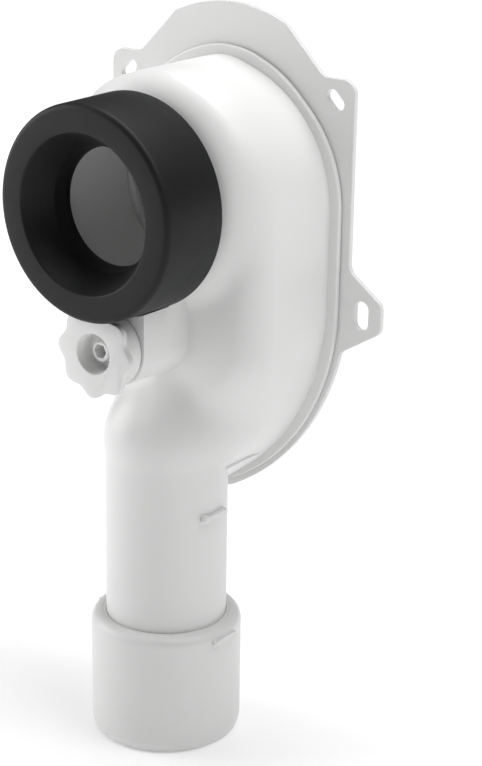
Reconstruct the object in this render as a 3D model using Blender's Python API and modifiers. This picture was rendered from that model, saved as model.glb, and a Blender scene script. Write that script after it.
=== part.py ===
"""Wall-hung urinal trap: a moulded front shell and back plate that hold a water seal, with a rubber
inlet collar, a lobed cleaning plug and a 40 to 50 mm outlet sleeve.

Metres, +Z up. The origin is on the wall, at the height of the inlet's axis, in the plane of symmetry.
The wall is the plane Y = 0 and the trap stands out from it towards -Y. Sizes named OUT are distances
out from the wall, and heights are measured from the inlet's axis.
"""

import math

import bmesh
import bpy
import numpy as np

# Gap left between two pieces that seat on each other
SEAT_GAP = 0.0003

# Back plate
PLATE_THICKNESS = 0.002
PLATE_MARGIN = 0.0022
TAB_TOP = 0.0553
TAB_HALF_WIDTH = 0.0217
TAB_SHOULDER = 0.0507
TAB_ARC_RADIUS = 0.052
TAB_CORNER_RADIUS = 0.0025
TAB_FOOT_HALF_WIDTH = 0.0364
TAB_FOOT_RADIUS = 0.005
UPPER_EAR_TOP = 0.036
UPPER_EAR_RADIUS = 0.0045
LOWER_EAR_REACH = 0.0124
LOWER_EAR_HEIGHT = -0.0369
LOWER_EAR_TIP_HALF_HEIGHT = 0.0046
LOWER_EAR_ROOT_HALF_HEIGHT = 0.0137
LOWER_EAR_RADIUS = 0.0035
EAR_ROOT_RADIUS = 0.004
UPPER_SLOT_X = 0.0412
UPPER_SLOT_Z = 0.0294
UPPER_SLOT_WIDTH = 0.0042
UPPER_SLOT_LENGTH = 0.0085
LOWER_SLOT_X = 0.0535
LOWER_SLOT_WIDTH = 0.0052
LOWER_SLOT_LENGTH = 0.0095

# Dome of the front shell, its outline given by the corners that its arcs round off
WALL = 0.0022
DOME_HALF_WIDTH = 0.0388
DOME_APEX = 0.0408
DOME_APEX_RADIUS = 0.0235
DOME_SHOULDER_X = 0.0210
DOME_SHOULDER_Z = 0.0322
DOME_SHOULDER_RADIUS = 0.0372
DOME_SIDE_TOP = 0.0061
DOME_SIDE_TOP_RADIUS = 0.0259
DOME_TIP = -0.1034
DOME_TIP_RADIUS = 0.0135
DOME_FLANK_SLOPE = math.radians(33)
DOME_HIP_RADIUS = 0.0690
DOME_OUT = 0.0365
DOME_EDGE_RADIUS = 0.0095

# Flange round the dome, which lies on the plate
FLANGE_THICKNESS = 0.0019
FLANGE_MARGIN = 0.0073
FLANGE_APEX_MARGIN = 0.0047
FLANGE_APEX_RADIUS = 0.0310
FLANGE_SHOULDER_MARGIN_X = 0.0052
FLANGE_SHOULDER_MARGIN_Z = 0.0021
FLANGE_SHOULDER_RADIUS = 0.0450
FLANGE_SIDE_TOP_MARGIN = 0.0031
FLANGE_SIDE_TOP_RADIUS = 0.0399
FLANGE_TIP_MARGIN = 0.0025
FLANGE_TIP_RADIUS = 0.0050
FLANGE_FLANK_SLOPE = math.radians(28)
FLANGE_HIP_RADIUS = 0.0790

# Outlet elbow and pipe
PIPE_RADIUS = 0.0200
PIPE_BORE_RADIUS = 0.0180
PIPE_AXIS_OUT = 0.0322
PIPE_END = -0.1720
PIPE_ROOT = 0.0023
ELBOW_RADIUS = 0.0204
ELBOW_HEIGHT = -0.0810
ELBOW_BLEND = 0.0160
LUG_HEIGHT = -0.1016
LUG_THICKNESS = 0.0018
LUG_HALF_LENGTH = 0.0068
LUG_REACH = 0.0013

# Inlet neck and rubber collar
NECK_RADIUS = 0.0270
NECK_BORE_RADIUS = 0.0235
NECK_OUT = 0.0560
NECK_INNER_OUT = 0.0237
COLLAR_OUT = 0.0720
COLLAR_LENGTH = 0.0250
COLLAR_FRONT_RADIUS = 0.0330
COLLAR_BACK_RADIUS = 0.0335
COLLAR_EDGE_RADIUS = 0.0019
MOUTH_RADIUS = 0.0245
THROAT_RADIUS = 0.0193
THROAT_DEPTH = 0.0094
LIP_RADIUS = 0.0183
LIP_DEPTH = 0.0134

# Cleaning boss and its lobed plug
PLUG_HEIGHT = -0.0440
BOSS_RADIUS = 0.0118
BOSS_ROOT_RADIUS = 0.0129
BOSS_OUT = 0.0584
WEB_HALF_WIDTH = 0.0125
PLUG_BORE_RADIUS = 0.0093
PLUG_FACE_OUT = 0.0675
PLUG_DISC_THICKNESS = 0.0025
PLUG_COLLAR_RADIUS = 0.0118
PLUG_LOBES = 8
PLUG_TIP_RADIUS = 0.01454
PLUG_VALLEY_RADIUS = 0.01276
PLUG_LOBE_TURN = math.radians(3.4)
PLUG_SHANK_RADIUS = 0.0089
PLUG_SHANK_END_OUT = 0.0400
PLUG_RECESS_RADIUS = 0.0063
PLUG_RECESS_FLOOR_RADIUS = 0.0050
PLUG_RECESS_DEPTH = 0.0040
PLUG_HEX_RADIUS = 0.0031
PLUG_HEX_DEPTH = 0.0060
PLUG_CLEARANCE = 0.0008
PLUG_SEAL_OUT = 0.0550
PLUG_SEAL_SECTION_RADIUS = 0.00075
RELIEF_LIP = 0.0037

# Inlet shaft and weir wall, which hold the water seal
SHAFT_BACK_OUT = 0.0104
SHAFT_FRONT_OUT = 0.0234
SHAFT_WALL = 0.0020
SHAFT_END = -0.0770
WEIR_OUT = 0.0250
WEIR_WALL = 0.0020
WEIR_TOP = -0.0270
WEIR_SHELF = -0.0880
WEIR_FOOT_OUT = 0.0085

# Outlet sleeve and its seal
SLEEVE_RADIUS = 0.0250
SLEEVE_TOP = -0.1420
SLEEVE_BOTTOM = -0.1835
SLEEVE_SHOULDER_RADIUS = 0.0035
SLEEVE_CHAMFER = 0.0016
SLEEVE_STOP_RADIUS = 0.0182
SLEEVE_SEAL_RADIUS = 0.0222
SLEEVE_SEAL_DEPTH = 0.0080
SLEEVE_LUG_HEIGHT = -0.1443
SLEEVE_LUG_THICKNESS = 0.0020
SLEEVE_LUG_HALF_LENGTH = 0.0063
SLEEVE_LUG_REACH = 0.0005

# Facets
ROUND_STEPS = 64
SMALL_ROUND_STEPS = 40
EDGE_STEPS = 6
FACE_RINGS = 9
ARC_STEP = math.radians(6)

# Turns a shape drawn as seen from the front, so that its Z points out from the wall
FACING = (math.radians(90), 0, 0)


def clear_scene():
    for obj in list(bpy.data.objects):
        bpy.data.objects.remove(obj, do_unlink=True)


def new_collection(name):
    collection = bpy.data.collections.new(name)
    bpy.context.scene.collection.children.link(collection)
    return collection


def new_material(name, colour, roughness):
    material = bpy.data.materials.new(name)
    material.use_nodes = True
    shader = material.node_tree.nodes["Principled BSDF"]
    shader.inputs["Base Color"].default_value = (*colour, 1)
    shader.inputs["Roughness"].default_value = roughness
    shader.inputs["Metallic"].default_value = 0
    return material


def rounded_outline(half_corners):
    """Closed outline from the corners (x, z, radius) of its right half, top to bottom, mirrored at x = 0.

    Returns its points and, for each, the unit vector that points into the outline. A fillet that its
    sides are too short for is limited to what fits.
    """
    mirrored = [(-x, z, radius) for x, z, radius in reversed(half_corners) if x > 0]
    corners = list(half_corners) + mirrored
    at = np.array([(x, z) for x, z, radius in corners])
    after = np.roll(at, -1, axis=0) - at
    length = np.linalg.norm(after, axis=1)
    after /= length[:, None]
    before = -np.roll(after, 1, axis=0)
    turn = math.pi - np.arccos(np.clip((before * after).sum(axis=1), -1, 1))
    reach = np.array([radius for x, z, radius in corners]) * np.tan(turn / 2)
    room = length / (reach + np.roll(reach, -1))
    reach *= np.minimum(1, 0.999 * np.minimum(room, np.roll(room, 1)))
    points = []
    inward = []
    for i, corner in enumerate(at):
        radius = reach[i] / math.tan(turn[i] / 2)
        middle = (before[i] + after[i]) / np.linalg.norm(before[i] + after[i])
        centre = corner + middle * math.hypot(reach[i], radius)
        start = corner + before[i] * reach[i] - centre
        first = math.atan2(start[1], start[0])
        way = math.copysign(1, after[i][0] * before[i][1] - after[i][1] * before[i][0])
        steps = max(2, math.ceil(turn[i] / ARC_STEP))
        for k in range(steps + 1):
            angle = first + way * turn[i] * k / steps
            spoke = np.array([math.cos(angle), math.sin(angle)])
            points.append(centre + radius * spoke)
            inward.append(way * spoke)
    return np.array(points), np.array(inward)


def dome_outline():
    hip = DOME_TIP + DOME_HALF_WIDTH * math.tan(DOME_FLANK_SLOPE)
    return rounded_outline([
        (0, DOME_APEX, DOME_APEX_RADIUS),
        (DOME_SHOULDER_X, DOME_SHOULDER_Z, DOME_SHOULDER_RADIUS),
        (DOME_HALF_WIDTH, DOME_SIDE_TOP, DOME_SIDE_TOP_RADIUS),
        (DOME_HALF_WIDTH, hip, DOME_HIP_RADIUS),
        (0, DOME_TIP, DOME_TIP_RADIUS),
    ])


def flange_outline(margin=0):
    """The flange's outline, or one that runs round it at this margin."""
    half_width = DOME_HALF_WIDTH + FLANGE_MARGIN
    tip = DOME_TIP - FLANGE_TIP_MARGIN
    points, inward = rounded_outline([
        (0, DOME_APEX + FLANGE_APEX_MARGIN, FLANGE_APEX_RADIUS),
        (DOME_SHOULDER_X + FLANGE_SHOULDER_MARGIN_X, DOME_SHOULDER_Z + FLANGE_SHOULDER_MARGIN_Z,
         FLANGE_SHOULDER_RADIUS),
        (half_width, DOME_SIDE_TOP + FLANGE_SIDE_TOP_MARGIN, FLANGE_SIDE_TOP_RADIUS),
        (half_width, tip + half_width * math.tan(FLANGE_FLANK_SLOPE), FLANGE_HIP_RADIUS),
        (0, tip, FLANGE_TIP_RADIUS),
    ])
    return points - inward * margin


def add_object(name, mesh, material, collection):
    obj = bpy.data.objects.new(name, mesh)
    collection.objects.link(obj)
    if material:
        mesh.materials.append(material)
    return obj


def flat_shape(name, outlines, back_out, front_out, collection):
    """A flat piece between two distances out from the wall. Outlines inside the first are holes."""
    curve = bpy.data.curves.new(name, "CURVE")
    curve.dimensions = "2D"
    curve.fill_mode = "BOTH"
    curve.extrude = (front_out - back_out) / 2
    for outline in outlines:
        spline = curve.splines.new("POLY")
        spline.points.add(len(outline) - 1)
        for point, (x, z) in zip(spline.points, outline):
            point.co = (x, z, 0, 1)
        spline.use_cyclic_u = True
    drawn = add_object(name + "_outline", curve, None, collection)
    drawn.rotation_euler = FACING
    drawn.location.y = -(front_out + back_out) / 2
    return as_mesh(name, drawn, collection)


def as_mesh(name, drawn, collection):
    """Replaces an object by a plain mesh of how it looks with its modifiers."""
    bpy.context.view_layer.update()
    graph = bpy.context.evaluated_depsgraph_get()
    mesh = bpy.data.meshes.new_from_object(drawn.evaluated_get(graph))
    mesh.name = name
    mesh.transform(drawn.matrix_world)
    bpy.data.objects.remove(drawn, do_unlink=True)
    tidy = bmesh.new()
    tidy.from_mesh(mesh)
    bmesh.ops.remove_doubles(tidy, verts=tidy.verts, dist=1e-6)
    bmesh.ops.recalc_face_normals(tidy, faces=tidy.faces)
    tidy.to_mesh(mesh)
    tidy.free()
    mesh.materials.clear()
    return add_object(name, mesh, None, collection)


def turned_shape(name, profile, steps, collection, rotation=(0, 0, 0), location=(0, 0, 0)):
    """Turns a closed profile of (radius, height) points about the axis through location."""
    mesh = bpy.data.meshes.new(name)
    vertices = [(radius, 0, height) for radius, height in profile]
    on_axis = [radius == 0 for radius, height in profile]
    edges = []
    for i in range(len(profile)):
        after = (i + 1) % len(profile)
        if not (on_axis[i] and on_axis[after]):
            edges.append((i, after))
    mesh.from_pydata(vertices, edges, [])
    drawn = add_object(name + "_profile", mesh, None, collection)
    drawn.rotation_euler = rotation
    drawn.location = location
    screw = drawn.modifiers.new("Turn", "SCREW")
    screw.steps = steps
    screw.render_steps = steps
    screw.use_merge_vertices = True
    screw.merge_threshold = 1e-5
    return as_mesh(name, drawn, collection)


def box(name, low, high, collection):
    mesh = bpy.data.meshes.new(name)
    cube = bmesh.new()
    bmesh.ops.create_cube(cube, size=1)
    low, high = np.array(low), np.array(high)
    for vertex in cube.verts:
        vertex.co = low + (np.array(vertex.co) + 0.5) * (high - low)
    cube.to_mesh(mesh)
    cube.free()
    return add_object(name, mesh, None, collection)


def combine(target, operation, others, cutters):
    for other in others:
        modifier = target.modifiers.new(f"{operation.title()} {other.name}", "BOOLEAN")
        modifier.operation = operation
        modifier.object = other
        if other.name not in cutters.objects:
            for collection in list(other.users_collection):
                collection.objects.unlink(other)
            cutters.objects.link(other)
        other.hide_render = True
        other.display_type = "WIRE"


def arc(centre, radius, start, end, steps):
    """Points on an arc, its angles in degrees anticlockwise from +X."""
    return [
        (centre[0] + radius * math.cos(math.radians(start + (end - start) * k / steps)),
         centre[1] + radius * math.sin(math.radians(start + (end - start) * k / steps)))
        for k in range(steps + 1)
    ]


def distance_to_dome(inset, out):
    """Signed distance to the rounded dome, from the distance inside its outline and out from the wall."""
    side = DOME_EDGE_RADIUS - inset
    front = out - (DOME_OUT - DOME_EDGE_RADIUS)
    outside = np.hypot(np.maximum(side, 0), np.maximum(front, 0))
    return outside + np.minimum(np.maximum(side, front), 0) - DOME_EDGE_RADIUS


def distance_to_elbow(x, z, out):
    """Signed distance to the elbow's ball and to a core just inside the pipe below it."""
    forward = out - PIPE_AXIS_OUT
    ball = np.sqrt(x**2 + forward**2 + (z - ELBOW_HEIGHT) ** 2) - ELBOW_RADIUS
    above = np.maximum(z - ELBOW_HEIGHT, 0)
    core = np.sqrt(x**2 + forward**2 + above**2) - (PIPE_RADIUS - (ELBOW_RADIUS - PIPE_RADIUS))
    return np.minimum(ball, core)


def distance_to_body(inset, x, z, out):
    """The dome and the elbow joined with a soft blend."""
    dome = distance_to_dome(inset, out)
    elbow = distance_to_elbow(x, z, out)
    overlap = np.maximum(ELBOW_BLEND - np.abs(dome - elbow), 0) / ELBOW_BLEND
    return np.minimum(dome, elbow) - overlap**2 * ELBOW_BLEND / 4


def front_of_body(inset, points, depth):
    """How far out the surface that lies depth inside the body's skin is over each of these points."""
    low = np.full(len(points), (DOME_OUT - DOME_EDGE_RADIUS) / 2)
    high = np.full(len(points), PIPE_AXIS_OUT + PIPE_RADIUS + ELBOW_BLEND)
    for _ in range(40):
        middle = (low + high) / 2
        inside = distance_to_body(inset, points[:, 0], points[:, 1], middle) < -depth
        low = np.where(inside, middle, low)
        high = np.where(inside, high, middle)
    return low


def body_solid(name, depth, back_out, collection):
    """The dome and elbow as one solid, its surface lying depth inside the outer skin."""
    outline, inward = dome_outline()
    edge_radius = DOME_EDGE_RADIUS - depth
    wall_top = DOME_OUT - DOME_EDGE_RADIUS
    rings = [(outline + inward * depth, np.full(len(outline), back_out))]
    edge = []
    for k in range(1, EDGE_STEPS + 1):
        angle = math.pi / 2 * k / EDGE_STEPS
        inset = depth + edge_radius * (1 - math.cos(angle))
        points = outline + inward * inset
        edge.append((points, front_of_body(inset, points, depth), wall_top + edge_radius * math.sin(angle)))
    rise = edge[0][1] - edge[0][2]
    rings.append((outline + inward * depth, wall_top + rise))
    rings += [(points, out) for points, out, plain in edge]
    rim = edge[-1][0]
    spine = np.stack([np.zeros(len(rim)), np.clip(rim[:, 1], ELBOW_HEIGHT, 0)], axis=1)
    for k in range(1, FACE_RINGS + 1):
        share = k / FACE_RINGS
        points = rim + (spine - rim) * share
        inset = DOME_EDGE_RADIUS + share * DOME_HALF_WIDTH
        rings.append((points, front_of_body(inset, points, depth)))
    solid = bmesh.new()
    rows = [[solid.verts.new((x, z, out)) for (x, z), out in zip(*ring)] for ring in rings]
    count = len(outline)
    for lower, upper in zip(rows, rows[1:]):
        for i in range(count):
            after = (i + 1) % count
            solid.faces.new((lower[i], lower[after], upper[after], upper[i]))
    solid.faces.new(rows[0])
    mesh = bpy.data.meshes.new(name)
    solid.to_mesh(mesh)
    solid.free()
    drawn = add_object(name + "_skin", mesh, None, collection)
    drawn.rotation_euler = FACING
    return as_mesh(name, drawn, collection)


def slot_outline(x, z, width, length, angle):
    """A slot with round ends, its length turned by angle from the vertical."""
    radius = width / 2
    half = length / 2 - radius
    ends = arc((0, half), radius, 180, 0, 8) + arc((0, -half), radius, 0, -180, 8)
    return [
        (x + u * math.cos(angle) - v * math.sin(angle), z + u * math.sin(angle) + v * math.cos(angle))
        for u, v in ends
    ]


def plate_outline():
    """Top tab, upper ears, straight sides, lower ears and the blunt lower end, which follows the flange."""
    half_width = DOME_HALF_WIDTH + FLANGE_MARGIN + PLATE_MARGIN
    lean = math.asin((TAB_HALF_WIDTH - TAB_CORNER_RADIUS) / TAB_ARC_RADIUS)
    apex = TAB_TOP + TAB_ARC_RADIUS * (1 / math.cos(lean) - 1)
    hip_radius = FLANGE_HIP_RADIUS + PLATE_MARGIN
    tip = DOME_TIP - FLANGE_TIP_MARGIN - PLATE_MARGIN / math.cos(FLANGE_FLANK_SLOPE)
    turn = math.pi / 2 - FLANGE_FLANK_SLOPE
    hip_start = tip + half_width * math.tan(FLANGE_FLANK_SLOPE) + hip_radius * math.tan(turn / 2)
    root = LOWER_EAR_HEIGHT - LOWER_EAR_ROOT_HALF_HEIGHT
    turned = math.asin(np.clip((hip_start - root) / hip_radius, 0, math.sin(turn)))
    root_x = half_width - hip_radius * (1 - math.cos(turned))
    rest = hip_radius * math.tan((turn - turned) / 2)
    hip = (root_x - rest * math.sin(turned), root - rest * math.cos(turned))
    ear_tip = half_width + LOWER_EAR_REACH
    return rounded_outline([
        (0, apex, TAB_ARC_RADIUS),
        (TAB_HALF_WIDTH, TAB_SHOULDER, TAB_CORNER_RADIUS),
        (TAB_FOOT_HALF_WIDTH, UPPER_EAR_TOP, TAB_FOOT_RADIUS),
        (half_width, UPPER_EAR_TOP, UPPER_EAR_RADIUS),
        (half_width, LOWER_EAR_HEIGHT + LOWER_EAR_ROOT_HALF_HEIGHT, EAR_ROOT_RADIUS),
        (ear_tip, LOWER_EAR_HEIGHT + LOWER_EAR_TIP_HALF_HEIGHT, LOWER_EAR_RADIUS),
        (ear_tip, LOWER_EAR_HEIGHT - LOWER_EAR_TIP_HALF_HEIGHT, LOWER_EAR_RADIUS),
        (root_x, root, EAR_ROOT_RADIUS),
        (*hip, hip_radius - EAR_ROOT_RADIUS),
        (0, tip, FLANGE_TIP_RADIUS + PLATE_MARGIN),
    ])[0]


def make_back_plate(collection):
    slots = []
    for side in (1, -1):
        slots.append(slot_outline(side * UPPER_SLOT_X, UPPER_SLOT_Z, UPPER_SLOT_WIDTH, UPPER_SLOT_LENGTH,
                                  side * math.atan2(UPPER_SLOT_Z, UPPER_SLOT_X)))
        slots.append(slot_outline(side * LOWER_SLOT_X, LOWER_EAR_HEIGHT, LOWER_SLOT_WIDTH,
                                  LOWER_SLOT_LENGTH, 0))
    return flat_shape("back_plate", [plate_outline(), *slots], 0, PLATE_THICKNESS, collection)


def make_front_shell(collection, cutters):
    flange_back = PLATE_THICKNESS + SEAT_GAP
    shell = body_solid("front_shell", 0, flange_back + FLANGE_THICKNESS / 2, collection)
    flange = flat_shape("flange", [flange_outline()], flange_back, flange_back + FLANGE_THICKNESS, cutters)
    neck = turned_shape("neck", [
        (0, NECK_OUT), (NECK_RADIUS, NECK_OUT), (NECK_RADIUS, NECK_INNER_OUT), (0, NECK_INNER_OUT),
    ], ROUND_STEPS, cutters, FACING)
    boss = boss_solid(cutters)
    pipe_top = ELBOW_HEIGHT + PIPE_ROOT
    pipe = turned_shape("pipe", [
        (0, pipe_top), (PIPE_RADIUS, pipe_top), (PIPE_RADIUS, PIPE_END), (0, PIPE_END),
    ], ROUND_STEPS, cutters, location=(0, -PIPE_AXIS_OUT, 0))
    lug = box("pipe_lug",
              (PIPE_RADIUS - WALL, -PIPE_AXIS_OUT - LUG_HALF_LENGTH, LUG_HEIGHT - LUG_THICKNESS / 2),
              (PIPE_RADIUS + LUG_REACH, -PIPE_AXIS_OUT + LUG_HALF_LENGTH, LUG_HEIGHT + LUG_THICKNESS / 2),
              cutters)
    combine(shell, "UNION", [flange, pipe, lug], cutters)
    hollow = body_solid("body_hollow", WALL, -PLATE_THICKNESS, cutters)
    combine(shell, "DIFFERENCE", [hollow], cutters)
    combine(shell, "UNION", [neck, boss], cutters)
    neck_bore = turned_shape("neck_bore", [
        (0, NECK_OUT + WALL), (NECK_BORE_RADIUS, NECK_OUT + WALL), (NECK_BORE_RADIUS, NECK_INNER_OUT - WALL),
        (0, NECK_INNER_OUT - WALL),
    ], ROUND_STEPS, cutters, FACING)
    pipe_bore = turned_shape("pipe_bore", [
        (0, pipe_top), (PIPE_BORE_RADIUS, pipe_top), (PIPE_BORE_RADIUS, PIPE_END - WALL),
        (0, PIPE_END - WALL),
    ], ROUND_STEPS, cutters, location=(0, -PIPE_AXIS_OUT, 0))
    plug_bore = turned_shape("plug_bore", [
        (0, BOSS_OUT + WALL), (PLUG_BORE_RADIUS, BOSS_OUT + WALL),
        (PLUG_BORE_RADIUS, DOME_OUT - 3 * WALL), (0, DOME_OUT - 3 * WALL),
    ], SMALL_ROUND_STEPS, cutters, FACING, (0, 0, PLUG_HEIGHT))
    combine(shell, "DIFFERENCE", [neck_bore, pipe_bore, plug_bore], cutters)
    return shell


def boss_solid(cutters):
    """The drafted round boss of the cleaning plug, with the web that joins it to the neck."""
    root_out = DOME_OUT - WALL / 2
    boss = turned_shape("plug_boss", [
        (0, BOSS_OUT), (BOSS_RADIUS, BOSS_OUT), (BOSS_ROOT_RADIUS, root_out), (0, root_out),
    ], SMALL_ROUND_STEPS, cutters, FACING, (0, 0, PLUG_HEIGHT))
    web_out = COLLAR_OUT - COLLAR_LENGTH - SEAT_GAP
    web = box("boss_web", (-WEB_HALF_WIDTH, -web_out, PLUG_HEIGHT),
              (WEB_HALF_WIDTH, -root_out, -NECK_BORE_RADIUS), cutters)
    combine(boss, "UNION", [web], cutters)
    return boss


def make_inlet_collar(collection, cutters):
    """Rubber collar pushed on the neck: a cone-shaped mouth, a sealing lip and a seat for the neck."""
    front, back = COLLAR_OUT, COLLAR_OUT - COLLAR_LENGTH
    seat = NECK_OUT + SEAT_GAP
    edge = COLLAR_EDGE_RADIUS
    profile = [(MOUTH_RADIUS, front)]
    profile += arc((COLLAR_FRONT_RADIUS - edge, front - edge), edge, 90, 0, 4)
    profile += [
        (COLLAR_BACK_RADIUS, back), (NECK_RADIUS + SEAT_GAP, back), (NECK_RADIUS + SEAT_GAP, seat),
        (LIP_RADIUS, seat), (LIP_RADIUS, front - LIP_DEPTH), (THROAT_RADIUS, front - THROAT_DEPTH),
        (MOUTH_RADIUS - 0.0002, front - 0.0006),
    ]
    collar = turned_shape("inlet_collar", profile, ROUND_STEPS, collection, FACING)
    relief_radius = PLUG_TIP_RADIUS + PLUG_CLEARANCE
    relief = turned_shape("plug_relief", [
        (0, front - RELIEF_LIP), (relief_radius, front - RELIEF_LIP), (relief_radius, back - WALL),
        (0, back - WALL),
    ], SMALL_ROUND_STEPS, cutters, FACING, (0, 0, PLUG_HEIGHT))
    combine(collar, "DIFFERENCE", [relief], cutters)
    return collar


def make_cleaning_plug(collection, cutters):
    face = PLUG_FACE_OUT
    disc_back = face - PLUG_DISC_THICKNESS
    middle = (PLUG_TIP_RADIUS + PLUG_VALLEY_RADIUS) / 2
    swing = (PLUG_TIP_RADIUS - PLUG_VALLEY_RADIUS) / 2
    lobes = []
    for k in range(12 * PLUG_LOBES):
        angle = -2 * math.pi * k / (12 * PLUG_LOBES)
        radius = middle + swing * math.cos(PLUG_LOBES * (angle + PLUG_LOBE_TURN))
        lobes.append((radius * math.cos(angle), PLUG_HEIGHT + radius * math.sin(angle)))
    plug = flat_shape("cleaning_plug", [lobes], disc_back, face, collection)
    groove_floor = PLUG_BORE_RADIUS - SEAT_GAP - 2 * PLUG_SEAL_SECTION_RADIUS - SEAT_GAP
    groove_half = PLUG_SEAL_SECTION_RADIUS + SEAT_GAP
    shank = turned_shape("plug_shank", [
        (0, disc_back + PLUG_DISC_THICKNESS / 2), (PLUG_COLLAR_RADIUS, disc_back + PLUG_DISC_THICKNESS / 2),
        (PLUG_COLLAR_RADIUS, BOSS_OUT + SEAT_GAP), (PLUG_SHANK_RADIUS, BOSS_OUT + SEAT_GAP),
        (PLUG_SHANK_RADIUS, PLUG_SEAL_OUT + groove_half), (groove_floor, PLUG_SEAL_OUT + groove_half),
        (groove_floor, PLUG_SEAL_OUT - groove_half), (PLUG_SHANK_RADIUS, PLUG_SEAL_OUT - groove_half),
        (PLUG_SHANK_RADIUS, PLUG_SHANK_END_OUT), (0, PLUG_SHANK_END_OUT),
    ], SMALL_ROUND_STEPS, cutters, FACING, (0, 0, PLUG_HEIGHT))
    combine(plug, "UNION", [shank], cutters)
    recess = turned_shape("plug_recess", [
        (0, face + PLUG_RECESS_DEPTH), (PLUG_RECESS_RADIUS, face + PLUG_RECESS_DEPTH),
        (PLUG_RECESS_RADIUS, face), (PLUG_RECESS_FLOOR_RADIUS, face - PLUG_RECESS_DEPTH),
        (0, face - PLUG_RECESS_DEPTH),
    ], SMALL_ROUND_STEPS, cutters, FACING, (0, 0, PLUG_HEIGHT))
    hex_hole = turned_shape("plug_hexagon", [
        (0, face), (PLUG_HEX_RADIUS, face), (PLUG_HEX_RADIUS, face - PLUG_RECESS_DEPTH - PLUG_HEX_DEPTH),
        (0, face - PLUG_RECESS_DEPTH - PLUG_HEX_DEPTH),
    ], 6, cutters, FACING, (0, 0, PLUG_HEIGHT))
    combine(plug, "DIFFERENCE", [recess, hex_hole], cutters)
    return plug


def make_plug_seal(collection):
    section = PLUG_SEAL_SECTION_RADIUS
    centre = (PLUG_BORE_RADIUS - SEAT_GAP - section, PLUG_SEAL_OUT)
    return turned_shape("plug_seal", arc(centre, section, 90, -225, 7), SMALL_ROUND_STEPS, collection,
                        FACING, (0, 0, PLUG_HEIGHT))


def make_inlet_shaft(collection, cutters):
    """The down leg: a round-topped shaft that takes the water from the neck down into the seal."""
    outer = shaft_outline(NECK_BORE_RADIUS + SHAFT_WALL, SHAFT_END)
    inner = shaft_outline(NECK_BORE_RADIUS, SHAFT_END - SHAFT_WALL)
    shaft = flat_shape("inlet_shaft", [outer], SHAFT_BACK_OUT, SHAFT_FRONT_OUT, collection)
    hollow = flat_shape("shaft_hollow", [inner], SHAFT_BACK_OUT + SHAFT_WALL, SHAFT_FRONT_OUT - SHAFT_WALL,
                        cutters)
    inlet = turned_shape("shaft_inlet", [
        (0, SHAFT_FRONT_OUT + SHAFT_WALL), (NECK_BORE_RADIUS - SHAFT_WALL, SHAFT_FRONT_OUT + SHAFT_WALL),
        (NECK_BORE_RADIUS - SHAFT_WALL, SHAFT_FRONT_OUT - 1.5 * SHAFT_WALL),
        (0, SHAFT_FRONT_OUT - 1.5 * SHAFT_WALL),
    ], ROUND_STEPS, cutters, FACING)
    combine(shaft, "DIFFERENCE", [hollow, inlet], cutters)
    return shaft


def shaft_outline(radius, end):
    """A round top about the inlet's axis and straight sides down to end."""
    return arc((0, 0), radius, 180, 0, ROUND_STEPS // 2) + [(radius, end), (-radius, end)]


def make_weir_wall(collection, cutters):
    """The bent wall that holds the water up to the weir and shuts the outlet off below it."""
    wall = WEIR_WALL
    foot = DOME_TIP - wall
    profile = [
        (-WEIR_OUT, WEIR_TOP), (-WEIR_OUT - wall, WEIR_TOP), (-WEIR_OUT - wall, WEIR_SHELF - wall),
        (-WEIR_FOOT_OUT - wall, WEIR_SHELF - wall), (-WEIR_FOOT_OUT - wall, foot), (-WEIR_FOOT_OUT, foot),
        (-WEIR_FOOT_OUT, WEIR_SHELF), (-WEIR_OUT, WEIR_SHELF),
    ]
    curve = bpy.data.curves.new("weir_wall", "CURVE")
    curve.dimensions = "2D"
    curve.fill_mode = "BOTH"
    curve.extrude = DOME_HALF_WIDTH
    spline = curve.splines.new("POLY")
    spline.points.add(len(profile) - 1)
    for point, (y, z) in zip(spline.points, profile):
        point.co = (y, z, 0, 1)
    spline.use_cyclic_u = True
    drawn = add_object("weir_profile", curve, None, collection)
    drawn.rotation_euler = (math.radians(90), 0, math.radians(90))
    weir = as_mesh("weir_wall", drawn, collection)
    inside = body_solid("weir_trim", WALL + SEAT_GAP, PLATE_THICKNESS + 2 * SEAT_GAP, cutters)
    combine(weir, "INTERSECT", [inside], cutters)
    return weir


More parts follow.
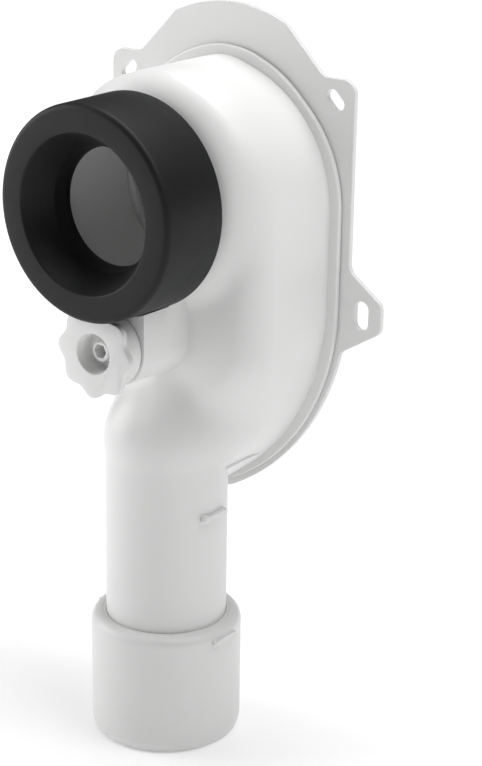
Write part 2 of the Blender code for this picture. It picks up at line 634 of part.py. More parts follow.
def make_outlet_sleeve(collection, cutters):
    """Sleeve that takes the pipe up to its inner stop and fits a 50 mm waste."""
    top, bottom = SLEEVE_TOP, SLEEVE_BOTTOM
    corner = SLEEVE_SHOULDER_RADIUS
    stop = PIPE_END - SEAT_GAP
    seat = top - SLEEVE_SEAL_DEPTH
    bore = PIPE_RADIUS + SEAT_GAP
    seal_bore = SLEEVE_SEAL_RADIUS + SEAT_GAP
    profile = [(seal_bore, top)]
    rim = arc((SLEEVE_RADIUS - corner, top - corner), corner, 90, 0, 6)
    profile += [point for point in rim if point[0] > seal_bore + 0.0002]
    profile += [
        (SLEEVE_RADIUS, bottom + SLEEVE_CHAMFER), (SLEEVE_RADIUS - SLEEVE_CHAMFER / 2, bottom),
        (SLEEVE_STOP_RADIUS, bottom), (SLEEVE_STOP_RADIUS, stop), (bore, stop), (bore, seat),
        (seal_bore, seat),
    ]
    axis = (0, -PIPE_AXIS_OUT, 0)
    sleeve = turned_shape("outlet_sleeve", profile, ROUND_STEPS, collection, location=axis)
    lugs = []
    for side, name in ((1, "sleeve_lug_right"), (-1, "sleeve_lug_left")):
        ends = sorted((side * (seal_bore + SEAT_GAP), side * (SLEEVE_RADIUS + SLEEVE_LUG_REACH)))
        lugs.append(box(
            name,
            (ends[0], -PIPE_AXIS_OUT - SLEEVE_LUG_HALF_LENGTH, SLEEVE_LUG_HEIGHT - SLEEVE_LUG_THICKNESS / 2),
            (ends[1], -PIPE_AXIS_OUT + SLEEVE_LUG_HALF_LENGTH, SLEEVE_LUG_HEIGHT + SLEEVE_LUG_THICKNESS / 2),
            cutters))
    combine(sleeve, "UNION", lugs, cutters)
    return sleeve


def make_sleeve_seal(collection):
    bore = PIPE_RADIUS + SEAT_GAP
    top = SLEEVE_TOP - SEAT_GAP
    bottom = SLEEVE_TOP - SLEEVE_SEAL_DEPTH + SEAT_GAP
    rounding = (SLEEVE_SEAL_RADIUS - bore) / 3
    profile = [(bore, top - rounding)]
    profile += arc((bore + rounding, top - rounding), rounding, 180, 90, 3)[1:]
    profile += arc((SLEEVE_SEAL_RADIUS - rounding, top - rounding), rounding, 90, 0, 3)
    profile += [(SLEEVE_SEAL_RADIUS, bottom), (bore, bottom)]
    return turned_shape("sleeve_seal", profile, ROUND_STEPS, collection, location=(0, -PIPE_AXIS_OUT, 0))


def finish(obj, material):
    obj.data.materials.clear()
    obj.data.materials.append(material)
    obj.data.shade_smooth()
    obj.data.set_sharp_from_angle(angle=math.radians(35))


def main():
    clear_scene()
    trap = new_collection("urinal_trap")
    cutters = new_collection("cutters")
    cutters.hide_render = True
    white = new_material("white plastic", (0.80, 0.80, 0.79), 0.35)
    rubber = new_material("black rubber", (0.02, 0.02, 0.021), 0.55)
    soft = new_material("pale seal rubber", (0.62, 0.62, 0.61), 0.6)
    finish(make_front_shell(trap, cutters), white)
    finish(make_back_plate(trap), white)
    finish(make_inlet_shaft(trap, cutters), white)
    finish(make_weir_wall(trap, cutters), white)
    finish(make_inlet_collar(trap, cutters), rubber)
    finish(make_cleaning_plug(trap, cutters), white)
    finish(make_plug_seal(trap), rubber)
    finish(make_outlet_sleeve(trap, cutters), white)
    finish(make_sleeve_seal(trap), soft)


main()
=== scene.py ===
"""Studio picture of a wall-hung urinal trap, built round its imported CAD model.

Metres, +Z up, the wall at Y = 0 and the trap's front towards -Y. A finer piece stands for each CAD
node: the shell is lofted over a field of signed distances, the plate is made from its outline, and
the collar, plug, sleeve and rings from their profiles. Only the walls inside the shell are the
CAD's own shapes, their edges rounded and their ends trimmed to the shell's hollow.
"""

import math

import bmesh
import bpy
import numpy as np
from bpy.props import FloatProperty, FloatVectorProperty, IntProperty, PointerProperty
from mathutils import Matrix, Vector


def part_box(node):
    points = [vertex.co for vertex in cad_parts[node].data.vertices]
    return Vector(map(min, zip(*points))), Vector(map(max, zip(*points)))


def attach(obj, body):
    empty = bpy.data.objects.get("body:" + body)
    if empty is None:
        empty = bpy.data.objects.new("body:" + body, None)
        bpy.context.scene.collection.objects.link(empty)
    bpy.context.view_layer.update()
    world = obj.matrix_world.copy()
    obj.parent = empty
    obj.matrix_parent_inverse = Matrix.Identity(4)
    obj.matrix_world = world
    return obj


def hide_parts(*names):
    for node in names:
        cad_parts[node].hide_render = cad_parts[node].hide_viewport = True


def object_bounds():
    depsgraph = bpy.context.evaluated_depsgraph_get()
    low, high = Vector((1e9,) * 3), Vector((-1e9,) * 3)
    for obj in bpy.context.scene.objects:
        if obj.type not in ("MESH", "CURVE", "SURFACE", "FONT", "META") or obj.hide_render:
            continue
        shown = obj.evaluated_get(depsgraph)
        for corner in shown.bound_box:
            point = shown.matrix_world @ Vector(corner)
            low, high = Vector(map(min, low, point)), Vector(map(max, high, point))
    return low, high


bl_info = {
    "name": "Urinal trap dresser",
    "version": (1, 0, 0),
    "blender": (4, 5, 0),
    "location": "View3D > Sidebar > Trap",
    "description": "Finishes the pieces of a wall-hung urinal trap and sets up its studio",
    "category": "Object",
}

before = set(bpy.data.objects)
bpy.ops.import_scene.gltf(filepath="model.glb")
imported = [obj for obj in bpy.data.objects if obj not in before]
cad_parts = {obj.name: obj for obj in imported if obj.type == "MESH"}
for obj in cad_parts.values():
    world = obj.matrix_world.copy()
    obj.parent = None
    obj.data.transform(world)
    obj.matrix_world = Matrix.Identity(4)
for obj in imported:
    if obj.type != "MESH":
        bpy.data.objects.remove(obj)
CAD_LOW, CAD_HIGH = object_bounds()
COLLAR_LOW, COLLAR_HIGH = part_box("inlet_collar")
PLUG_LOW, PLUG_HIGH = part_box("cleaning_plug")
SLEEVE_LOW, SLEEVE_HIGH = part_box("outlet_sleeve")

# Corners (x, z, radius) of the right half of each moulded outline, from its top to its lower tip
DOME_CORNERS = (
    (0, 0.0403, 0.0212), (0.0227, 0.0325, 0.0456), (0.0420, 0.0111, 0.0445),
    (0.0420, -0.0731, 0.0769), (0, -0.1058, 0.0100),
)
FLANGE_CORNERS = (
    (0, 0.0453, 0.0339), (0.0228, 0.0352, 0.0444), (0.0453, 0.0132, 0.0439),
    (0.0453, -0.0818, 0.0750), (0, -0.1059, 0.0050),
)
PLATE_CORNERS = (
    (0, 0.0592, 0.0520), (0.0217, 0.0507, 0.0025), (0.0364, 0.0360, 0.0050),
    (0.0483, 0.0360, 0.0045), (0.0483, -0.0232, 0.0040), (0.0607, -0.0323, 0.0035),
    (0.0607, -0.0415, 0.0035), (0.0460, -0.0506, 0.0040), (0.0373, -0.0874, 0.0833),
    (0, -0.1088, 0.0087),
)

# Clearances in metres
GAP = 0.0003  # between pieces that are pushed or screwed together
OVERRUN = 0.002  # how far a cutter reaches past what it cuts
ROOM_END = 0.07  # how far out the collar's room in the boss reaches, past the boss's front
TRIM = 0.0010  # between the shell's wall and the walls inside it
SEAL_GAP = 0.00002  # between the pale ring and what it seals
FLOOR_GAP = 0.0002  # between the trap's lower end and the floor
WELD, CAD_WELD = 2e-6, 0.00002  # points closer than this are welded after a cut, in a CAD copy

# Small sizes in metres that have no setting
FLANGE_EDGE = 0.0005
RIB_CORNER, RIB_EDGE = 0.0012, 0.0003
RECESS_EDGE, RECESS_OVERLAP = 0.0004, 0.001
LUG_DEPTH = 0.002

# Fineness of the meshes: spacings in metres, then counts of rings and of steps
OUTLINE_SPACING, PLATE_SPACING = 0.0012, 0.0007
SIDE_RINGS, EDGE_RINGS, FRONT_RINGS, PIPE_RINGS = 6, 10, 24, 24
BISECTIONS = 40
RIM_STEPS, SLOT_STEPS, BOSS_STEPS, LOBE_STEPS = 4, 48, 40, 24
FINE_TURN, PLUG_TURN, ROOM_TURN = 160, 96, 72
SHARP = math.radians(40)

# Each light's setting, side length and place
LIGHTS = (
    ("top", 0.7, (0.00, 0.10, 0.80)),
    ("right", 0.5, (0.50, 0.05, 0.66)),
    ("left", 0.6, (-0.75, -0.35, 0.20)),
)
# Half the floor's side, and how far from its middle its glow starts and stops changing
FLOOR_HALF = 6
GLOW_FROM, GLOW_TO = 0.15, 0.90

# Turns a shape drawn in XY with +Z as its axis so that the axis points out from the wall
FACING = Matrix.Rotation(math.radians(90), 4, "X")


def length(name, default, description):
    """A size in metres."""
    return FloatProperty(name=name, description=description, default=default, min=0,
                         unit="LENGTH", precision=5)


def height(name, default, description):
    """A height in metres, which may be below the inlet's axis."""
    return FloatProperty(name=name, description=description, default=default,
                         unit="LENGTH", precision=5)


def share(name, default, description):
    """A plain number from 0 to 1."""
    return FloatProperty(name=name, description=description, default=default, min=0, max=1,
                         subtype="FACTOR")


def strength(name, default, description):
    """A light's power in watts, or how strongly a surface or the air glows."""
    return FloatProperty(name=name, description=description, default=default, min=0)


def angle(name, degrees, description):
    """An angle, given in degrees."""
    return FloatProperty(name=name, description=description, default=math.radians(degrees),
                         subtype="ANGLE")


def colour(name, default, description):
    """A colour without alpha."""
    return FloatVectorProperty(name=name, description=description, default=default, min=0, max=1,
                               size=3, subtype="COLOR")


def slot_size(name, default, description):
    """A slot's x and z, its width and its length, in metres."""
    return FloatVectorProperty(name=name, description=description, default=default, size=4,
                               precision=5)


class TrapPlastic(bpy.types.PropertyGroup):
    """Finish of the white moulded pieces."""
    base: colour("Colour", (0.80, 0.80, 0.795), "Colour of the moulded plastic")
    roughness: share("Roughness", 0.36, "Mean roughness of the skin")
    roughness_spread: share("Roughness spread", 0.08, "How much the roughness wanders")
    waviness: length("Waviness", 0.00006, "Height of the slow sink marks of a moulded wall")
    grain: length("Grain", 0.000012, "Height of the fine texture of the mould")
    edge: length("Edge", 0.00035, "Rounding of the sharp moulded edges")


class TrapShell(bpy.types.PropertyGroup):
    """Sizes of the shell and plate: how far out from the wall, how high above the inlet's axis."""
    wall: length("Wall", 0.0022, "Wall thickness of the shell")
    plate: length("Plate thickness", 0.0020, "Thickness of the back plate")
    flange_back: length("Flange back", 0.0023, "How far out the flange's back is")
    flange_front: length("Flange front", 0.0042, "How far out the flange's front is")
    dome_out: length("Dome depth", 0.0370, "How far out the dome's plane front is")
    dome_edge: length("Dome edge", 0.0085, "Rounding of the dome's front edge")
    low_edge: length("Lower dome edge", 0.0215, "Rounding of the edge at the dome's lower end")
    rim_reach: length("Rim reach", 0.0088, "How far in the mesh's rings follow the outline")
    draft: share("Draft", 0.085, "How much the dome's side leans in per length outwards")
    low_draft: share("Lower draft", 0.14, "The same at the dome's lower end")
    narrow_from: height("Narrowing from", -0.0450, "Height where edge and side start to change")
    narrow_to: height("Narrowing to", -0.0740, "Height where they have changed to the lower ones")
    drum_radius: length("Drum radius", 0.0376, "Radius of the dome's drum round the inlet")
    drum_height: length("Drum height", 0.0024, "Height of the drum's middle")
    drum_out: length("Drum depth", 0.0452, "How far out the drum's plane front is")
    drum_edge: length("Drum edge", 0.0140, "Rounding of the drum's front edge")
    drum_blend: length("Drum blend", 0.0050, "Softness of the join of drum and dome")
    elbow_radius: length("Elbow radius", 0.0204, "Radius of the ball that the elbow turns round")
    elbow_height: height("Elbow height", -0.0810, "Height of the ball's middle")
    core_blend: length("Core blend", 0.0015, "Softness of the step from the ball to the pipe")
    elbow_blend: length("Elbow blend", 0.0080, "Softness of the join of elbow and dome")
    pipe_out: length("Pipe distance", 0.0322, "How far out the pipe's axis is")
    pipe_radius: length("Pipe radius", 0.0200, "Outer radius of the outlet pipe")
    pipe_bore: length("Pipe bore", 0.0180, "Inner radius of the pipe")
    pipe_end: height("Pipe end", -0.1720, "Height of the pipe's lower end")
    rib_height: height("Rib height", -0.1032, "Height of the short rib on the pipe's right")
    rib_knob: length("Rib knob", 0.0015, "Radius of the round knob at the rib's front end")
    rib_thickness: length("Rib thickness", 0.0018, "Thickness of that rib")
    rib_half_length: length("Rib half length", 0.0052, "Half its length")
    rib_reach: length("Rib reach", 0.0015, "How far it stands out from the pipe")
    neck_radius: length("Neck radius", 0.0270, "Outer radius of the neck under the collar")
    neck_bore: length("Neck bore", 0.0235, "Inner radius of the neck")
    neck_out: length("Neck length", 0.0560, "How far out the neck ends")
    neck_back: length("Neck back", 0.0237, "How far out the neck starts, inside the shell")
    boss_half_width: length("Boss half width", 0.0125, "Half width of the plug's boss in front")
    boss_root_half_width: length("Boss root half width", 0.0130, "Half width at its root")
    boss_root_out: length("Boss root", 0.0300, "How far out the boss starts, inside the shell")
    boss_bore: length("Boss bore", 0.0093, "Radius of the hole for the plug")
    upper_slot: slot_size("Upper slot", (0.0412, 0.0294, 0.0042, 0.0075),
                          "Place, width and length of the upper slots")
    upper_slant: angle("Upper slot slant", 45, "Lean of the upper slots")
    lower_slot: slot_size("Lower slot", (0.0535, -0.0369, 0.0052, 0.0095),
                          "Place, width and length of the lower slots")


class TrapRubber(bpy.types.PropertyGroup):
    """Finish of the rubber pieces."""
    black: colour("Black", (0.0035, 0.0035, 0.0040), "Colour of the collar and the plug's ring")
    bloom: colour("Bloom", (0.0075, 0.0078, 0.0088), "Greyer tone of dust and wax on the black")
    pale: colour("Pale", (0.78, 0.78, 0.77), "Colour of the ring round the pipe")
    roughness: share("Roughness", 0.50, "Mean roughness of the black rubber")
    grain: length("Grain", 0.00002, "Height of the rubber's grain")


class TrapSizes(bpy.types.PropertyGroup):
    """Sizes of the turned and lobed pieces that the frame's boxes don't give."""
    mouth_radius: length("Mouth radius", 0.0245, "Radius of the collar's mouth at its front")
    throat_radius: length("Throat radius", 0.0193, "Radius where the collar's cone ends")
    throat_depth: length("Throat depth", 0.0094, "Depth of the collar's cone")
    lip_radius: length("Lip radius", 0.0183, "Radius of the collar's sealing lip")
    lip_depth: length("Lip depth", 0.0134, "Depth of the collar's sealing lip")
    collar_front_radius: length("Collar front radius", 0.0330, "Outer radius of its front")
    collar_edge: length("Collar edge", 0.0019, "Rounding of the collar's outer front edge")
    seat_radius: length("Seat radius", 0.0273, "Radius of the collar's seat on the neck")
    seat_front: length("Seat front", 0.0563, "How far out the seat for the neck's end is")
    relief_lip: length("Relief lip", 0.0037, "Thickness of the collar in front of the plug's room")
    relief_radius: length("Relief radius", 0.01534, "Radius of the room for the plug behind it")
    plug_height: length("Plug drop", 0.0440, "How far the plug's axis is below the inlet's axis")
    plug_tip: length("Lobe tip radius", 0.01454, "Radius of the plug at the tips of its lobes")
    plug_valley: length("Lobe valley radius", 0.01276, "Radius of the plug between its lobes")
    plug_lobes: IntProperty(name="Lobes", description="How many lobes the plug has", default=8,
                            min=3)
    plug_turn: angle("Lobe turn", 3.4, "Turn of the lobes about the plug's axis")
    disc_thickness: length("Disc thickness", 0.0025, "Thickness of the plug's lobed disc")
    disc_rim: length("Disc rim", 0.0006, "Rounding of the disc's rims")
    recess_radius: length("Recess radius", 0.0063, "Radius of the plug's recess at its mouth")
    recess_floor_radius: length("Recess floor radius", 0.0059, "Radius of the recess at its floor")
    recess_depth: length("Recess depth", 0.0060, "Depth of the recess")
    stub_radius: length("Stub radius", 0.0032, "Radius of the round stub in the recess")
    stub_depth: length("Stub depth", 0.0033, "How far the stub's end is behind the plug's face")
    hexagon_radius: length("Hexagon radius", 0.0024, "Corner radius of the stub's hexagon hole")
    hexagon_depth: length("Hexagon depth", 0.0045, "Depth of the hexagon hole")
    plug_collar_radius: length("Plug collar radius", 0.0118, "Radius of the step behind the disc")
    shank_radius: length("Shank radius", 0.0074, "Radius of the shank inside its sealing ring")
    boss_front: length("Boss front", 0.0584, "How far out from the wall the boss ends")
    ring_radius: length("Ring radius", 0.00825, "Radius of the plug's sealing ring")
    ring_section: length("Ring section", 0.00075, "Radius of the sealing ring's section")
    ring_front: length("Ring place", 0.0550, "How far out from the wall the sealing ring sits")
    sleeve_bore: length("Sleeve bore", 0.0203, "Radius of the sleeve round the pipe")
    stop_radius: length("Stop radius", 0.0182, "Radius of the sleeve below the pipe")
    stop_height: height("Stop height", -0.1723, "Height of the sleeve's stop for the pipe")
    sleeve_shoulder: length("Sleeve shoulder", 0.0038, "Rounding of the sleeve's upper outer edge")
    chamfer_height: length("Chamfer height", 0.0030, "Height of the sleeve's lower bevel")
    chamfer_depth: length("Chamfer depth", 0.0010, "How far in the sleeve's bevel goes")
    lug_height: height("Lug height", -0.1459, "Height of the two lugs on the sleeve")
    lug_reach: length("Lug reach", 0.0257, "How far the lugs reach out from the sleeve's axis")
    lug_knob: length("Lug knob", 0.0013, "Radius of the round knob at one end of each lug")
    lug_thickness: length("Lug thickness", 0.0020, "Thickness of the lugs on the sleeve")
    lug_half_length: length("Lug half length", 0.0050, "Half the length of the lugs")
    seal_radius: length("Seal room radius", 0.0212, "Radius of the room for the pale ring")
    seal_depth: length("Seal room depth", 0.0080, "Depth of the room for the pale ring")


class TrapStudio(bpy.types.PropertyGroup):
    """Camera, floor and lights."""
    eye: FloatVectorProperty(name="Eye", description="Where the camera stands", size=3,
                             default=(0.35755, -0.46738, 0.13523), subtype="TRANSLATION")
    azimuth: angle("Azimuth", 36.99, "Turn of the view about the upright axis")
    elevation: angle("Elevation", 19.35, "How far the camera looks down")
    roll: angle("Roll", 0.92, "Tilt of the picture about the view direction")
    lens: FloatProperty(name="Lens", description="Focal length in millimetres", default=87.42,
                        min=1)
    sensor: FloatProperty(name="Sensor", description="Sensor width in millimetres", default=36,
                          min=1)
    floor: colour("Floor", (0.93, 0.93, 0.93), "Colour of the floor")
    glow: strength("Floor glow", 0.18, "Light that the floor near the trap gives by itself")
    far: strength("Far glow", 0.85, "Light that the floor gives by itself further away")
    air: strength("Air", 0.15, "Strength of the even light from all round")
    top: strength("Top light", 5.8, "Power of the large light overhead")
    right: strength("Right light", 2.6, "Power of the light at the right")
    left: strength("Left light", 3.9, "Power of the light at the left")


def wandering(material, waves, detail):
    """Noise that is fixed to the object, with this many waves per metre."""
    nodes, links = material.node_tree.nodes, material.node_tree.links
    noise = nodes.new("ShaderNodeTexNoise")
    noise.inputs["Scale"].default_value = waves
    noise.inputs["Detail"].default_value = detail
    place = nodes.new("ShaderNodeTexCoord")
    links.new(place.outputs["Object"], noise.inputs["Vector"])
    return noise.outputs["Fac"]


def toned(name, dark, light, waves, detail):
    """A new material whose colour wanders between two tones, and its shader."""
    material = bpy.data.materials.new(name)
    material.use_nodes = True
    nodes, links = material.node_tree.nodes, material.node_tree.links
    shader = nodes["Principled BSDF"]
    mix = nodes.new("ShaderNodeMix")
    mix.data_type = "RGBA"
    mix.inputs["A"].default_value = (*dark, 1)
    mix.inputs["B"].default_value = (*light, 1)
    links.new(wandering(material, waves, detail), mix.inputs["Factor"])
    links.new(mix.outputs["Result"], shader.inputs["Base Color"])
    return material, shader


def roughened(material, shader, low, high, waves, detail):
    """Lets the material's roughness wander between two values."""
    nodes, links = material.node_tree.nodes, material.node_tree.links
    spread = nodes.new("ShaderNodeMapRange")
    spread.inputs["To Min"].default_value = low
    spread.inputs["To Max"].default_value = high
    links.new(wandering(material, waves, detail), spread.inputs["Value"])
    links.new(spread.outputs["Result"], shader.inputs["Roughness"])


def textured(material, shader, *layers):
    """Lays bumps over one another, each as (waves per metre, detail, height in metres)."""
    nodes, links = material.node_tree.nodes, material.node_tree.links
    below = None
    for waves, detail, relief in layers:
        bump = nodes.new("ShaderNodeBump")
        bump.inputs["Distance"].default_value = relief
        links.new(wandering(material, waves, detail), bump.inputs["Height"])
        if below:
            links.new(below, bump.inputs["Normal"])
        below = bump.outputs["Normal"]
    links.new(below, shader.inputs["Normal"])


def white_plastic(settings):
    """Satin moulded plastic: slow sink marks, a fine mould texture and a wandering roughness."""
    dark = [c * 0.985 for c in settings.base]
    material, shader = toned("moulded white plastic", dark, settings.base, waves=38, detail=2)
    half = settings.roughness_spread / 2
    roughened(material, shader, settings.roughness - half, settings.roughness + half,
              waves=160, detail=3)
    textured(material, shader, (55, 1, settings.waviness), (2600, 2, settings.grain))
    shader.inputs["IOR"].default_value = 1.49
    return material


def black_rubber(settings):
    """Matte moulded rubber with a greyer bloom and a fine pebbled grain."""
    material, shader = toned("black moulded rubber", settings.black, settings.bloom,
                             waves=90, detail=4)
    roughened(material, shader, settings.roughness - 0.05, settings.roughness + 0.07,
              waves=240, detail=3)
    textured(material, shader, (3200, 2, settings.grain))
    shader.inputs["Specular IOR Level"].default_value = 0.26
    return material


def pale_rubber(settings):
    """Soft grey-white rubber of the ring between pipe and sleeve."""
    dark = [c * 0.94 for c in settings.pale]
    material, shader = toned("pale sealing rubber", dark, settings.pale, waves=300, detail=3)
    textured(material, shader, (3000, 2, settings.grain))
    shader.inputs["Roughness"].default_value = 0.55
    return material


def rounded(corners, steps=6):
    """The closed polygon through corners (x, y, radius), rounded as far as its sides allow."""
    at = np.array([corner[:2] for corner in corners], dtype=float)
    after = np.roll(at, -1, axis=0) - at
    side = np.linalg.norm(after, axis=1)
    after /= side[:, None]
    before = -np.roll(after, 1, axis=0)
    half_turn = (math.pi - np.arccos(np.clip((before * after).sum(axis=1), -1, 1))) / 2
    reach = np.array([corner[2] for corner in corners]) * np.tan(half_turn)
    # Neighbouring roundings share a side that is too short for both and stay just apart
    room = side / np.maximum(reach + np.roll(reach, -1), 1e-9)
    reach = reach * np.minimum(1, 0.999 * np.minimum(room, np.roll(room, 1)))
    points = []
    for i, corner in enumerate(at):
        if reach[i] < 1e-7:
            points.append(tuple(corner))
            continue
        radius = reach[i] / math.tan(half_turn[i])
        middle = (before[i] + after[i]) / np.linalg.norm(before[i] + after[i])
        centre = corner + middle * math.hypot(reach[i], radius)
        first = corner + before[i] * reach[i] - centre
        last = corner + after[i] * reach[i] - centre
        start = math.atan2(first[1], first[0])
        turn = math.remainder(math.atan2(last[1], last[0]) - start, 2 * math.pi)
        for k in range(steps + 1):
            a = start + turn * k / steps
            points.append((centre[0] + radius * math.cos(a), centre[1] + radius * math.sin(a)))
    return points


def piece_of(shape, name, material):
    """Makes a bmesh into a shown piece of the trap."""
    bmesh.ops.recalc_face_normals(shape, faces=shape.faces)
    mesh = bpy.data.meshes.new(name)
    shape.to_mesh(mesh)
    shape.free()
    mesh.materials.append(material)
    mesh.shade_smooth()
    mesh.set_sharp_from_angle(angle=SHARP)
    piece = bpy.data.objects.new(name, mesh)
    bpy.context.scene.collection.objects.link(piece)
    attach(piece, "root")
    return piece


def shape_of(piece):
    """Takes a helper piece back into a bmesh."""
    shape = bmesh.new()
    shape.from_mesh(piece.data)
    bpy.data.objects.remove(piece, do_unlink=True)
    return shape


def settle(piece):
    """Applies the piece's modifiers to its mesh."""
    bpy.context.view_layer.update()
    graph = bpy.context.evaluated_depsgraph_get()
    mesh = bpy.data.meshes.new_from_object(piece.evaluated_get(graph))
    mesh.name = piece.data.name
    piece.modifiers.clear()
    piece.data = mesh
    mesh.shade_smooth()
    mesh.set_sharp_from_angle(angle=SHARP)


def softened(piece, width, segments):
    """Rounds the piece's sharp edges and evens out its shading."""
    bevel = piece.modifiers.new("Edges", "BEVEL")
    bevel.width = width
    bevel.segments = segments
    bevel.limit_method = "ANGLE"
    bevel.angle_limit = SHARP
    piece.modifiers.new("Normals", "WEIGHTED_NORMAL").keep_sharp = True
    settle(piece)


def combine(piece, other_shape, operation):
    """Joins the other bmesh to the piece, cuts it out or keeps only what is in both."""
    mesh = bpy.data.meshes.new("other")
    bmesh.ops.recalc_face_normals(other_shape, faces=other_shape.faces)
    other_shape.to_mesh(mesh)
    other_shape.free()
    other = bpy.data.objects.new("other", mesh)
    bpy.context.scene.collection.objects.link(other)
    modifier = piece.modifiers.new("Combine", "BOOLEAN")
    modifier.operation = operation
    modifier.object = other
    settle(piece)
    bpy.data.objects.remove(other, do_unlink=True)
    shape = bmesh.new()
    shape.from_mesh(piece.data)
    bmesh.ops.remove_doubles(shape, verts=shape.verts, dist=WELD)
    bmesh.ops.dissolve_degenerate(shape, dist=WELD, edges=shape.edges)
    shape.to_mesh(piece.data)
    shape.free()


def join(piece, other_shape):
    """Joins the other bmesh to the piece."""
    combine(piece, other_shape, "UNION")


def cut(piece, other_shape):
    """Cuts the other bmesh out of the piece."""
    combine(piece, other_shape, "DIFFERENCE")


def finished(node, name, material, edge):
    """A welded copy of a CAD node that stands for it, its sharp edges rounded by edge."""
    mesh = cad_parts[node].data.copy()
    shape = bmesh.new()
    shape.from_mesh(mesh)
    bmesh.ops.remove_doubles(shape, verts=shape.verts, dist=CAD_WELD)
    bmesh.ops.dissolve_limit(shape, angle_limit=math.radians(0.5), verts=shape.verts,
                             edges=shape.edges)
    piece = piece_of(shape, name, material)
    bpy.data.meshes.remove(mesh)
    softened(piece, edge, segments=2)
    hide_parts(node)
    return piece


def turned(profile, steps, place=None):
    """A closed profile of (radius, z) points turned about Z and then put in place, as a bmesh."""
    shape = bmesh.new()
    rows = []
    for radius, z in profile:
        if radius < 1e-9:
            # A point on the axis is shared by the whole row
            rows.append([shape.verts.new((0, 0, z))] * steps)
            continue
        turns = [2 * math.pi * k / steps for k in range(steps)]
        rows.append([shape.verts.new((radius * math.cos(a), radius * math.sin(a), z))
                     for a in turns])
    for lower, upper in zip(rows, rows[1:] + rows[:1]):
        for k in range(steps):
            after = (k + 1) % steps
            corners = []
            for vertex in (lower[k], lower[after], upper[after], upper[k]):
                if vertex not in corners:
                    corners.append(vertex)
            if len(corners) > 2:
                shape.faces.new(corners)
    if place is not None:
        bmesh.ops.transform(shape, matrix=place, verts=shape.verts)
    return shape


def tube(radius, start, end, place, steps=128, rings=1):
    """A closed cylinder along its own Z from start to end, put in place, as a bmesh."""
    side = [(radius, end + (start - end) * k / rings) for k in range(rings + 1)]
    return turned([(0, end), *side, (0, start)], steps, place)


def skinned(rings, close_front=True):
    """A bmesh of quads through closed rings of points, its ends closed."""
    shape = bmesh.new()
    rows = [[shape.verts.new(point) for point in ring] for ring in rings]
    for lower, upper in zip(rows, rows[1:]):
        for k in range(len(lower)):
            shape.faces.new((lower[k - 1], lower[k], upper[k], upper[k - 1]))
    shape.faces.new(rows[0])
    if close_front:
        shape.faces.new(rows[-1])
    return shape


def lofted(rings, close_front=True):
    """The same in triangles, with points that meet welded."""
    shape = skinned(rings, close_front)
    bmesh.ops.remove_doubles(shape, verts=shape.verts, dist=1e-6)
    bmesh.ops.recalc_face_normals(shape, faces=shape.faces)
    bmesh.ops.triangulate(shape, faces=shape.faces)
    return shape


def add_knob(shape, radius, place):
    """Adds a small ball to the bmesh."""
    ball = bmesh.ops.create_uvsphere(shape, u_segments=24, v_segments=16, radius=radius)["verts"]
    bmesh.ops.translate(shape, verts=ball, vec=place)


def outline_of(corners, spacing):
    """The closed outline through these corners of its right half, its points evenly spaced.

    Returns its points and, for each, the unit vector that points into it.
    """
    mirrored = [(-x, z, radius) for x, z, radius in reversed(corners) if x > 0]
    points = np.array(rounded([*corners, *mirrored], steps=40))
    points = np.concatenate([points, points[:1]])
    steps = np.linalg.norm(np.diff(points, axis=0), axis=1)
    along = np.concatenate([[0], np.cumsum(steps)])
    # An even count that starts at the top keeps the two halves alike
    count = 2 * round(along[-1] / spacing / 2)
    start = along[np.argmax(points[:-1, 1])]
    at = (start + along[-1] * np.arange(count) / count) % along[-1]
    even = np.stack([np.interp(at, along, points[:, k]) for k in (0, 1)], axis=1)
    ahead = np.roll(even, -1, axis=0) - np.roll(even, 1, axis=0)
    inward = np.stack([ahead[:, 1], -ahead[:, 0]], axis=1)
    return even, inward / np.linalg.norm(inward, axis=1)[:, None]


def distance_to_raised(outside, out, front, radius):
    """Signed distance to a raised form whose side and front meet in an edge of this radius."""
    side = outside + radius
    forward = out - (front - radius)
    corner = np.hypot(np.maximum(side, 0), np.maximum(forward, 0))
    return corner + np.minimum(np.maximum(side, forward), 0) - radius


def soft_union(one, other, blend):
    """Joins two signed distances with a fillet where they differ by less than blend."""
    overlap = np.maximum(blend - np.abs(one - other), 0) / blend
    return np.minimum(one, other) - overlap**2 * blend / 4


def distance_to_body(shell, inset, x, z, out):
    """Signed distance to the dome, drum and elbow of points that lie inset inside the outline."""
    low = np.clip((shell.narrow_from - z) / (shell.narrow_from - shell.narrow_to), 0, 1)
    low = low * low * (3 - 2 * low)
    edge = shell.dome_edge + (shell.low_edge - shell.dome_edge) * low
    draft = shell.draft + (shell.low_draft - shell.draft) * low
    leaning = draft * np.maximum(out - shell.flange_front, 0)
    dome = distance_to_raised(leaning - inset, out, shell.dome_out, edge)
    from_drum = np.hypot(x, z - shell.drum_height) - shell.drum_radius
    drum = distance_to_raised(from_drum, out, shell.drum_out, shell.drum_edge)
    forward = out - shell.pipe_out
    from_ball = np.sqrt(x**2 + forward**2 + (z - shell.elbow_height) ** 2)
    # The core is as much thinner than the pipe as the ball is thicker, and goes straight down
    from_core = np.sqrt(x**2 + forward**2 + np.maximum(z - shell.elbow_height, 0) ** 2)
    core_radius = 2 * shell.pipe_radius - shell.elbow_radius
    elbow = soft_union(from_ball - shell.elbow_radius, from_core - core_radius, shell.core_blend)
    return soft_union(soft_union(dome, drum, shell.drum_blend), elbow, shell.elbow_blend)


def front_of_body(shell, inset, points, depth):
    """How far out the surface that lies depth inside the skin is over each of these points."""
    low = np.full(len(points), shell.flange_front)
    high = np.full(len(points), shell.pipe_out + 2 * shell.pipe_radius)
    for _ in range(BISECTIONS):
        middle = (low + high) / 2
        inside = distance_to_body(shell, inset, points[:, 0], points[:, 1], middle) < -depth
        low = np.where(inside, middle, low)
        high = np.where(inside, high, middle)
    return low


